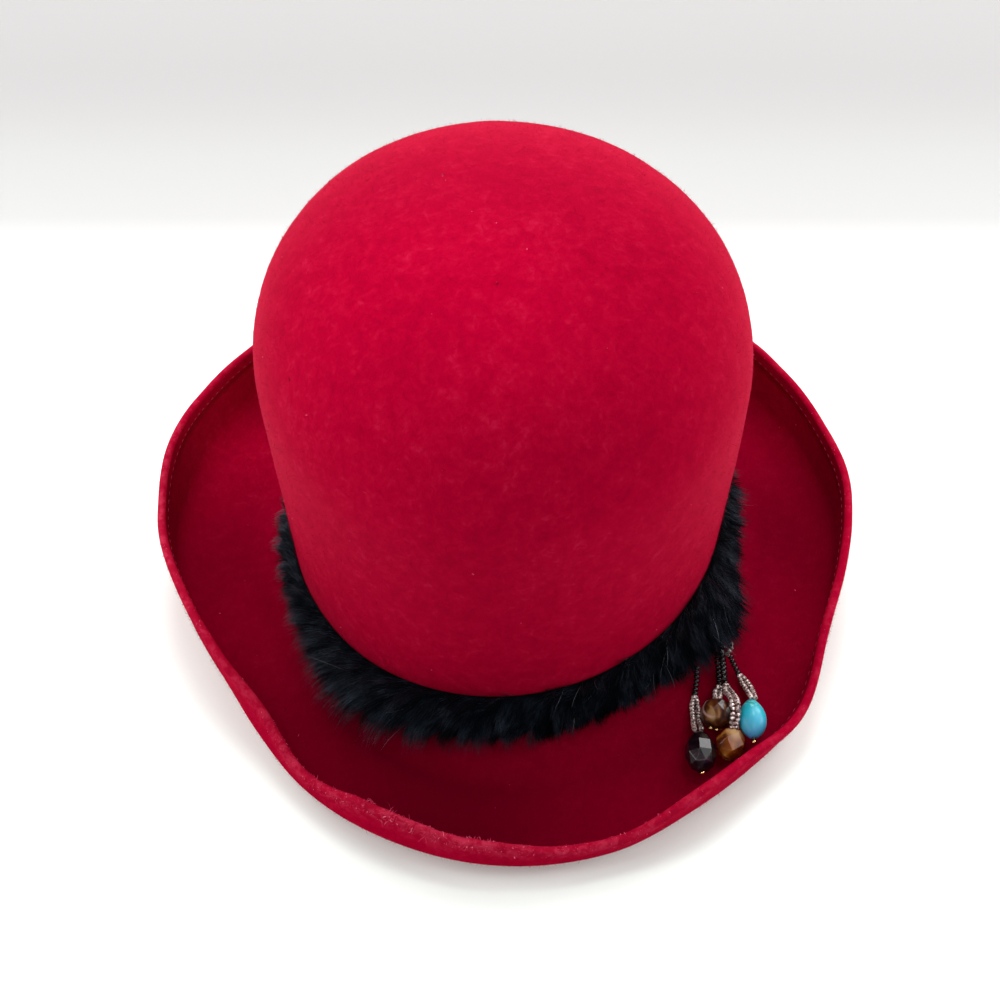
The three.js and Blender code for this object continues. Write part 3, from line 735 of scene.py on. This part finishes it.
# Hairs that would reach through the brim lie flat on it.
for piece in (underfur, guard_hairs, stray_hairs):
    places = np.zeros(len(piece.data.vertices) * 3)
    piece.data.vertices.foreach_get("co", places)
    below = places[2::3] - FUR_LOWEST_TIP * MM
    places[2::3] -= 0.9 * np.minimum(below, 0)
    piece.data.vertices.foreach_set("co", places)
    piece.data.update()
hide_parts("fur_band")
for piece in (fur_hide, underfur, guard_hairs, stray_hairs):
    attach(piece, "root")


# ---- Beaded strings ----
# The tassel hangs from strings of glass seed beads sewn in under the fur. Each string is one row of
# black beads, then a loop of clear ones that holds its drop. A thread runs through them all.

SEED_ACROSS = 2.0
LARGE_SEED_ACROSS = 2.3        # the black ones
SEED_LENGTH = 1.35
SEED_PITCH = 1.5
LOOP_SPREAD = 1.02             # half the distance between the two threads of a loop

# the black row, the clear loop, and how far apart its threads reach the drop (share of LOOP_SPREAD)
STRINGS = {
    "string_dark": ([(71.9, -75.2, 9.8), (71.6, -79, 7.4), (70.9, -83.2, 4.8)],
                    [(70.3, -88, 4.1), (69.9, -93.5, 5), (69.5, -100.4, 8.1)], 1.25),
    "string_amber": ([(80.3, -68.6, 9.6), (80.6, -73, 6.8), (80.5, -79, 4.6)],
                     [(79.4, -83, 5.4), (78, -88, 8.9)], 0.75),
    "string_nugget": ([(82.5, -67.4, 9.6), (82.8, -72.4, 7), (82.6, -79, 5.4)],
                      [(82.8, -84, 7.6), (82.6, -88.5, 12), (82.4, -93, 15.6), (82.2, -98, 16),
                       (81.6, -102.4, 12.4)], 0.75),
    "string_turquoise": ([(85.8, -68.6, 7.6), (87, -71.2, 6), (88.2, -74, 5)],
                         [(90, -78, 4.8), (91.2, -82.5, 6), (90.6, -89.3, 11.4)], 0.7),
}
KNOT = [[(85.6, -66, 12.8), (85.4, -67.6, 11.6), (84, -69.4, 10.6)],
        [(82.2, -67.7, 13), (81.9, -68.8, 11.9), (81.6, -70, 10.9)]]
KNOT_TAIL = [(81.8, -70.6, 11.4), (81.5, -73.5, 10.6), (81.5, -76.5, 9.8), (81.6, -79, 9)]


def smooth_route(points, skip=0):
    """Smooth line through the points, less a length at its start."""
    p = np.array(points, float)
    p = np.concatenate([[2 * p[0] - p[1]], p, [2 * p[-1] - p[-2]]])
    line = []
    for i in range(1, len(p) - 2):
        t = np.cumsum([0] + [np.linalg.norm(p[i + k] - p[i + k - 1]) ** 0.5 for k in range(3)])
        s = np.linspace(t[1], t[2], 30)[:, None]
        a = [((t[k + 1] - s) * p[i - 1 + k] + (s - t[k]) * p[i + k]) / (t[k + 1] - t[k])
             for k in range(3)]
        b = [((t[k + 2] - s) * a[k] + (s - t[k]) * a[k + 1]) / (t[k + 2] - t[k]) for k in range(2)]
        line.append(((t[2] - s) * b[0] + (s - t[1]) * b[1]) / (t[2] - t[1]))
    line = np.concatenate(line)
    gone = np.concatenate([[0], np.cumsum(np.linalg.norm(np.diff(line, axis=0), axis=1))])
    return line[gone >= skip]


def loop_routes(fork, loop, closing):
    """The two threads of a loop, side by side from the fork down to the drop."""
    routes = []
    for side in (-1, 1):
        route = [fork]
        for i, point in enumerate(loop):
            ahead = loop[min(i + 1, len(loop) - 1)]
            behind = fork if i == 0 else loop[i - 1]
            along = Vector((ahead[0] - behind[0], ahead[1] - behind[1])).normalized()
            spread = LOOP_SPREAD * (closing if i == len(loop) - 1 else 1)
            route.append((point[0] - side * spread * along.y, point[1] + side * spread * along.x,
                          point[2]))
        routes.append(smooth_route(route, SEED_PITCH))
    return routes


def joined(name, pieces):
    """One piece from several, each with its own material, which are used up."""
    mesh = bpy.data.meshes.new(name)
    form = bmesh.new()
    for piece in pieces:
        done, first = len(form.faces), len(mesh.materials)
        form.from_mesh(piece.data)
        form.faces.ensure_lookup_table()
        for face in form.faces[done:]:
            face.material_index += first
        for material in piece.data.materials:
            mesh.materials.append(material)
    form.to_mesh(mesh)
    form.free()
    for piece in pieces:
        bpy.data.objects.remove(piece)
    return in_scene(name, mesh)


def patches(tree, size, detail, distortion, stops):
    """Colours that change in soft patches of a size in millimetres."""
    cloud = add_node(tree, "ShaderNodeTexNoise", {
        "Vector": add_node(tree, "ShaderNodeTexCoord").outputs["Object"],
        "Scale": 1 / (size * MM), "Detail": detail, "Distortion": distortion})
    tone = add_node(tree, "ShaderNodeValToRGB", {"Fac": cloud})
    set_ramp(tone, stops)
    return tone


# Black seed beads: opaque pressed glass, fire-polished, so each carries one sharp point of light.
black_glass, *_ = new_material(
    "opaque_black_seed_glass", Base_Color=linear("#0B090B"), Roughness=0.12, IOR=1.52)

# Clear seed beads with a silvered hole: pinkish white from the lining, broken up by darker beads.
lined_glass, tree, shader = new_material(
    "silver_lined_seed_glass", Roughness=0.16, IOR=1.52, Metallic=0.35, Specular_IOR_Level=0.7)
tone = patches(tree, 1.1, 1.0, 0.0, [
    (0.36, "#43302F"), (0.47, "#8C7371"), (0.57, "#D6C2BB"), (0.68, "#F2E7E2")])
feed(tree, shader, {"Base Color": tone})
string_thread, *_ = new_material(
    "nylon_beading_thread", Base_Color=linear("#8E8482"), Roughness=0.4)

seed_profile = [(0.2, -0.5), (0.38, -0.5), (0.5, -0.26), (0.5, 0.26), (0.38, 0.5), (0.2, 0.5)]
seed_shape, large_seed_shape = (turned_shape(
    name, [(r * across, h * SEED_LENGTH) for r, h in seed_profile], 8) for name, across in (
        ("seed_shape", SEED_ACROSS), ("large_seed_shape", LARGE_SEED_ACROSS)))


def beads_on(name, routes, shape, material):
    """Seed beads threaded along routes given in millimetres from the crown's axis."""
    source = line_piece("seed_route", [to_hat(route) for route in routes])
    piece = run_tree(along_line, source, name, {
        "Shape": shape, "Pitch": SEED_PITCH * MM, "Thread radius": 0.18 * MM,
        "Shape material": material, "Thread material": string_thread})
    bpy.data.objects.remove(source)
    return piece


for node, (single, loop, closing) in STRINGS.items():
    black = beads_on("black_seeds", [smooth_route(single)], large_seed_shape, black_glass)
    clear = beads_on("clear_seeds", loop_routes(single[-1], loop, closing), seed_shape, lined_glass)
    seeds = joined("seed_" + node, [black, clear])
    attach(seeds, "root")
    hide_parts(node)
knot_clear = beads_on(
    "clear_seeds", [smooth_route(route) for route in KNOT], seed_shape, lined_glass)
knot_black = beads_on("black_seeds", [smooth_route(KNOT_TAIL)], large_seed_shape, black_glass)
knot = joined("seed_string_knot", [knot_clear, knot_black])
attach(knot, "root")
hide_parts("string_knot")
for helper in (seed_shape, large_seed_shape):
    bpy.data.objects.remove(helper)


# ---- Drops ----
# Four beads end the strings: a faceted drop of near-black glass, a faceted round and a chunky
# nugget of brown glass, and a polished turquoise egg. Small gilt beads stop the threads.

EDGE_ROUNDING = 0.14           # between facets


def cut_bead(name, across, length, rows, sides, turn, material):
    """A faceted bead along Z, tip down. Rows: share of radius, share of length, part of a side."""
    form = bmesh.new()
    rings = []
    for out, up, shift in rows:
        angles = (np.arange(sides) + shift) * 2 * math.pi / sides + math.radians(turn)
        rings.append([form.verts.new((out * across / 2 * math.cos(a) * MM,
                                      out * across / 2 * math.sin(a) * MM,
                                      (up - 0.5) * length * MM)) for a in angles])
    bmesh.ops.convex_hull(form, input=form.verts)
    bmesh.ops.dissolve_limit(form, angle_limit=0.02, verts=form.verts, edges=form.edges)
    bmesh.ops.bevel(form, geom=form.edges[:], offset=EDGE_ROUNDING * MM, segments=2,
                    profile=0.6, affect="EDGES")
    bmesh.ops.recalc_face_normals(form, faces=form.faces)
    mesh = bpy.data.meshes.new(name)
    form.to_mesh(mesh)
    form.free()
    mesh.materials.append(material)
    return in_scene(name, mesh)


def hang(piece, middle, along, node=None):
    """Turns a bead made along Z to point its tip along a line, and puts it in its place."""
    turn = Vector((0, 0, -1)).rotation_difference(Vector(along)).to_matrix().to_4x4()
    piece.data.transform(Matrix.Translation(to_hat(middle)) @ turn)
    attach(piece, "root")
    if node:
        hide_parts(node)


def tip_of(middle, along, distance):
    """A point past a bead's middle, towards its tip."""
    return np.array(middle) + np.array(along) / np.linalg.norm(along) * distance


# Near-black glass with a plum tint, pressed and fire-polished: broad flat facets.
plum_glass, tree, shader = new_material(
    "plum_black_pressed_glass", Roughness=0.24, IOR=1.54, Specular_IOR_Level=0.4)
tone = patches(tree, 4, 2.0, 1.0, [(0.35, "#060306"), (0.55, "#12080F"), (0.72, "#2A1624")])
feed(tree, shader, {"Base Color": tone})

DARK_MIDDLE, DARK_LINE = (69.2, -110.2, 8.7), (-0.03, -1, 0.03)
dark_drop = cut_bead("dark_glass_drop", 11.2, 16, [
    (0.3, 0.02, 0), (0.74, 0.15, 0.5), (1, 0.4, 0), (0.95, 0.66, 0), (0.62, 0.88, 0.5),
    (0.28, 0.99, 0)], 8, -13, plum_glass)
hang(dark_drop, DARK_MIDDLE, DARK_LINE, "bead_dark")

# Brown glass, pressed and fire-polished, with streaks of gold along it, and a pale crescent that
# bends round the side like a new moon: a painted reflection.
ROUND_MIDDLE, ROUND_LINE = (76.9, -94.8, 9), (-0.12, -1, -0.05)
amber_glass, tree, shader = new_material(
    "amber_pressed_glass", Roughness=0.28, IOR=1.5, Transmission_Weight=0.3)
place = add_node(tree, "ShaderNodeTexCoord").outputs["Object"]
drawn = add_node(tree, "ShaderNodeMapping", {"Vector": place, "Scale": (1, 0.3, 1)})
streaks = add_node(tree, "ShaderNodeTexNoise", {
    "Vector": drawn, "Scale": 1 / (3 * MM), "Detail": 1.0, "Distortion": 0.4})
tone = add_node(tree, "ShaderNodeValToRGB", {"Fac": streaks})
set_ramp(tone, [(0.4, "#2A0C05"), (0.52, "#50220C"), (0.6, "#764620"), (0.68, "#B68A58")])
# Painted reflection: a pale crescent on the left half of the round bead.
crescent_middle = to_hat(np.array(ROUND_MIDDLE) + (-0.9, 0.6, 4))
from_crescent = add_node(tree, "ShaderNodeVectorMath", {
    0: place, 1: tuple(map(float, crescent_middle))}, operation="DISTANCE")
off_crescent = add_node(tree, "ShaderNodeMath", {
    0: from_crescent.outputs["Value"], 1: 4.6 * MM}, operation="SUBTRACT")
crescent_width = add_node(tree, "ShaderNodeMath", {0: off_crescent}, operation="ABSOLUTE")
ring = add_node(tree, "ShaderNodeMapRange", {
    "Value": crescent_width, "From Min": 0.1 * MM, "From Max": 0.6 * MM, "To Min": 0.8,
    "To Max": 0.0}, interpolation_type="SMOOTHSTEP")
across = add_node(tree, "ShaderNodeSeparateXYZ", {"Vector": place}).outputs["X"]
left_half = add_node(tree, "ShaderNodeMapRange", {
    "Value": across, "From Min": float(crescent_middle[0] - 2.5 * MM),
    "From Max": float(crescent_middle[0]), "To Min": 1.0, "To Max": 0.0},
                     interpolation_type="SMOOTHSTEP")
painted_reflection = add_node(tree, "ShaderNodeMath", {0: ring, 1: left_half},
                operation="MULTIPLY")
glass_colour = add_node(tree, "ShaderNodeMix", {
    0: painted_reflection, 6: tone, 7: linear("#D8B4A6")}, data_type="RGBA")
feed(tree, shader, {"Base Color": glass_colour.outputs[2]})

amber_round = cut_bead("amber_glass_round", 11.8, 11.4, [
    (0.36, 0.02, 0), (0.8, 0.16, 0.5), (1, 0.4, 0), (1, 0.6, 0.5), (0.8, 0.84, 0),
    (0.36, 0.98, 0.5)], 9, 0, amber_glass)
hang(amber_round, ROUND_MIDDLE, ROUND_LINE, "bead_amber_round")

# The nugget is cloudier and more orange, and its cut faces are left half matt. A pale patch high
# on its side is a painted highlight.
honey_glass, tree, shader = new_material(
    "honey_pressed_glass", Roughness=0.14, IOR=1.5, Transmission_Weight=0.45)
tone = patches(tree, 6, 1.0, 0.5, [
    (0.36, "#6A2A06"), (0.5, "#A45612"), (0.6, "#C27A2A"), (0.7, "#E0AC64")])
place = add_node(tree, "ShaderNodeTexCoord").outputs["Object"]
NUGGET_MIDDLE, NUGGET_LINE = (80.4, -107, 8.6), (-0.38, -0.87, -0.3)
# Painted highlight: a pale patch round a point high on the nugget.
highlight_spot = to_hat(np.array(NUGGET_MIDDLE) + (1, 2.5, 4.5))
from_highlight = add_node(tree, "ShaderNodeVectorMath", {
    0: place, 1: tuple(map(float, highlight_spot))}, operation="DISTANCE")
painted_highlight = add_node(tree, "ShaderNodeMapRange", {
    "Value": from_highlight.outputs["Value"], "From Min": 1 * MM, "From Max": 4.5 * MM, "To Min": 0.6,
    "To Max": 0.0}, interpolation_type="SMOOTHSTEP")
glass_colour = add_node(tree, "ShaderNodeMix", {
    0: painted_highlight, 6: tone, 7: linear("#ECC48C")}, data_type="RGBA")
feed(tree, shader, {"Base Color": glass_colour.outputs[2]})
amber_nugget = cut_bead("amber_glass_nugget", 11.2, 12, [
    (0.42, 0.04, 0), (0.9, 0.22, 0.5), (1, 0.55, 0), (0.72, 0.84, 0.5), (0.38, 0.97, 0)],
    5, 10, honey_glass)
hang(amber_nugget, NUGGET_MIDDLE, NUGGET_LINE, "bead_amber_nugget")

# Turquoise: a soft blue stone under a waxy polish, greener at one end, violet-grey at the other.
turquoise, tree, shader = new_material(
    "polished_turquoise", Roughness=0.4, IOR=1.5, Coat_Weight=0.12, Coat_Roughness=0.2)
EGG_MIDDLE, EGG_LINE = (88.8, -98.6, 12), (-0.08, -1, -0.03)
EGG_ACROSS, EGG_LENGTH = 10.4, 16
place = add_node(tree, "ShaderNodeTexCoord").outputs["Object"]
egg_y = float(to_hat(EGG_MIDDLE)[1])
along_egg = add_node(tree, "ShaderNodeMapRange", {
    "Value": add_node(tree, "ShaderNodeSeparateXYZ", {"Vector": place}).outputs["Y"],
    "From Min": egg_y + EGG_LENGTH / 2 * MM, "From Max": egg_y - EGG_LENGTH / 2 * MM})
cloud = add_node(tree, "ShaderNodeTexNoise", {
    "Vector": place, "Scale": 1 / (4.5 * MM), "Detail": 3.0, "Distortion": 1.0})
blend = add_node(tree, "ShaderNodeMix", {
    0: 0.45, 2: along_egg, 3: cloud}, data_type="FLOAT")
tone = add_node(tree, "ShaderNodeValToRGB", {"Fac": blend})
# The narrow pale stop paints a thin light line near the greener end: a painted highlight.
set_ramp(tone, [(0.22, "#0A7C7A"), (0.31, "#0F989E"), (0.335, "#5CC8CC"), (0.36, "#12A2B0"),
                (0.5, "#1CAAC0"), (0.66, "#3CA6C8"), (0.8, "#4A8EC4")])
feed(tree, shader, {"Base Color": tone})
egg_profile = [(EGG_ACROSS / 2 * math.sin(math.pi * t) ** 0.58 * (1.06 - 0.2 * t),
                (t - 0.5) * EGG_LENGTH) for t in np.linspace(0.02, 0.98, 25)]
turquoise_egg = turned_shape("turquoise_egg", egg_profile, 32)
turquoise_egg.data.materials.append(turquoise)
hang(turquoise_egg, EGG_MIDDLE, EGG_LINE, "bead_turquoise")

# Gilt seed beads: a bright yellow metal film over glass.
gilt, *_ = new_material(
    "gilt_seed_bead", Base_Color=linear("#E8C98A"), Metallic=1.0, Roughness=0.18)
stop_profile = [(0.2, -0.6), (0.55, -0.55), (0.8, -0.25), (0.8, 0.25), (0.55, 0.55), (0.2, 0.6)]
stops = [
    ("gilt_stop_dark", tip_of(DARK_MIDDLE, DARK_LINE, 8.5), DARK_LINE, gilt),
    ("gilt_stop_round", tip_of(ROUND_MIDDLE, ROUND_LINE, 6.4), ROUND_LINE, gilt),
    ("gilt_stop_nugget", tip_of(ROUND_MIDDLE, (-0.5, -1, 0), 6.6), ROUND_LINE, gilt),
    ("black_stop_turquoise", tip_of(EGG_MIDDLE, EGG_LINE, 8.1), EGG_LINE, black_glass),
    ("gilt_stop_turquoise", tip_of(EGG_MIDDLE, EGG_LINE, 9.5), EGG_LINE, gilt),
    ("black_stop_nugget", tip_of(NUGGET_MIDDLE, NUGGET_LINE, -6.6), NUGGET_LINE, black_glass),
]
for name, spot, line, material in stops:
    stop = turned_shape(name, stop_profile, 12)
    stop.data.materials.append(material)
    hang(stop, spot, line)


# ---- Camera, floor and light ----
# A pale paper floor in a ring of soft lights, and the camera where one stands to look into the
# brim. Painted shade makes the paper greyer where it runs away behind the hat, and near the hat a
# faint green tint takes out the red light that the felt throws on it.

FLOOR_RADIUS = 1.5
LIGHT_DISTANCE = 1.8
LIGHT_SIZE = 0.9
AIM = (0, 0, 0.05)             # what every light faces

paper, tree, shader = new_material("matt_paper", Roughness=0.9)
place = add_node(tree, "ShaderNodeTexCoord").outputs["Object"]
depth = add_node(tree, "ShaderNodeSeparateXYZ", {"Vector": place}).outputs["Y"]
# Painted shade: the paper's colour darkens with distance behind the hat.
painted_falloff = add_node(tree, "ShaderNodeMapRange", {
    "Value": depth, "From Min": 0.1, "From Max": 0.44}, interpolation_type="SMOOTHSTEP")
tone = add_node(tree, "ShaderNodeValToRGB", {"Fac": painted_falloff})
set_ramp(tone, [
    (0, "#F6FDF9"), (0.2, "#CACAC9"), (0.4, "#B0B0AF"), (0.7, "#A8A8A7"), (1, "#9C9A9A")])
feed(tree, shader, {"Base Color": tone})
rounds = np.radians(np.arange(0, 360, 3))
floor = mesh_piece(
    "floor", [(FLOOR_RADIUS * math.cos(a), FLOOR_RADIUS * math.sin(a), 0) for a in rounds],
    [tuple(range(len(rounds)))], paper)

# which light, the side it stands on (azimuth), its angle above the floor, its power
for name, azimuth, climb, power in (
        ("back_high", 90, 60, 22), ("back_low", 90, 20, 9), ("back_left", 135, 30, 16),
        ("back_right", 45, 30, 18), ("left", 180, 16, 14.5), ("right", 0, 16, 13.5),
        ("left_high", 180, 60, 5.5), ("right_high", 0, 60, 5.5), ("front_left", 225, 20, 3.8),
        ("front_right", 315, 20, 2.7), ("front_high", 270, 52, 7)):
    turn, climb = math.radians(azimuth), math.radians(climb)
    softbox = bpy.data.lights.new(name, "AREA")
    softbox.size = LIGHT_SIZE
    softbox.energy = power
    lamp = in_scene(name, softbox)
    lamp.location = Vector(AIM) + LIGHT_DISTANCE * Vector((
        math.cos(climb) * math.cos(turn), math.cos(climb) * math.sin(turn), math.sin(climb)))
    lamp.rotation_euler = (Vector(AIM) - lamp.location).to_track_quat("-Z", "Y").to_euler()

# The room behind the floor looks pale, but gives hardly any light of its own.
world = bpy.data.worlds.new("studio")
world.use_nodes = True
seen = add_node(world.node_tree, "ShaderNodeLightPath").outputs["Is Camera Ray"]
glow = add_node(world.node_tree, "ShaderNodeMapRange", {
    "Value": seen, "To Min": 0.03, "To Max": 0.75})
feed(world.node_tree, world.node_tree.nodes["Background"], {
    "Color": linear("#FFFFFF"), "Strength": glow})
bpy.context.scene.world = world
bpy.context.scene.view_settings.view_transform = "Standard"

lens = bpy.data.cameras.new("camera")
lens.lens = 40.92
lens.sensor_width = 36
lens.clip_start = 0.01
camera = in_scene("camera", lens)
camera.location = (-0.0028, -0.3169, 0.3638)
camera.rotation_euler = (math.radians(43.19), 0, 0)
bpy.context.scene.camera = camera
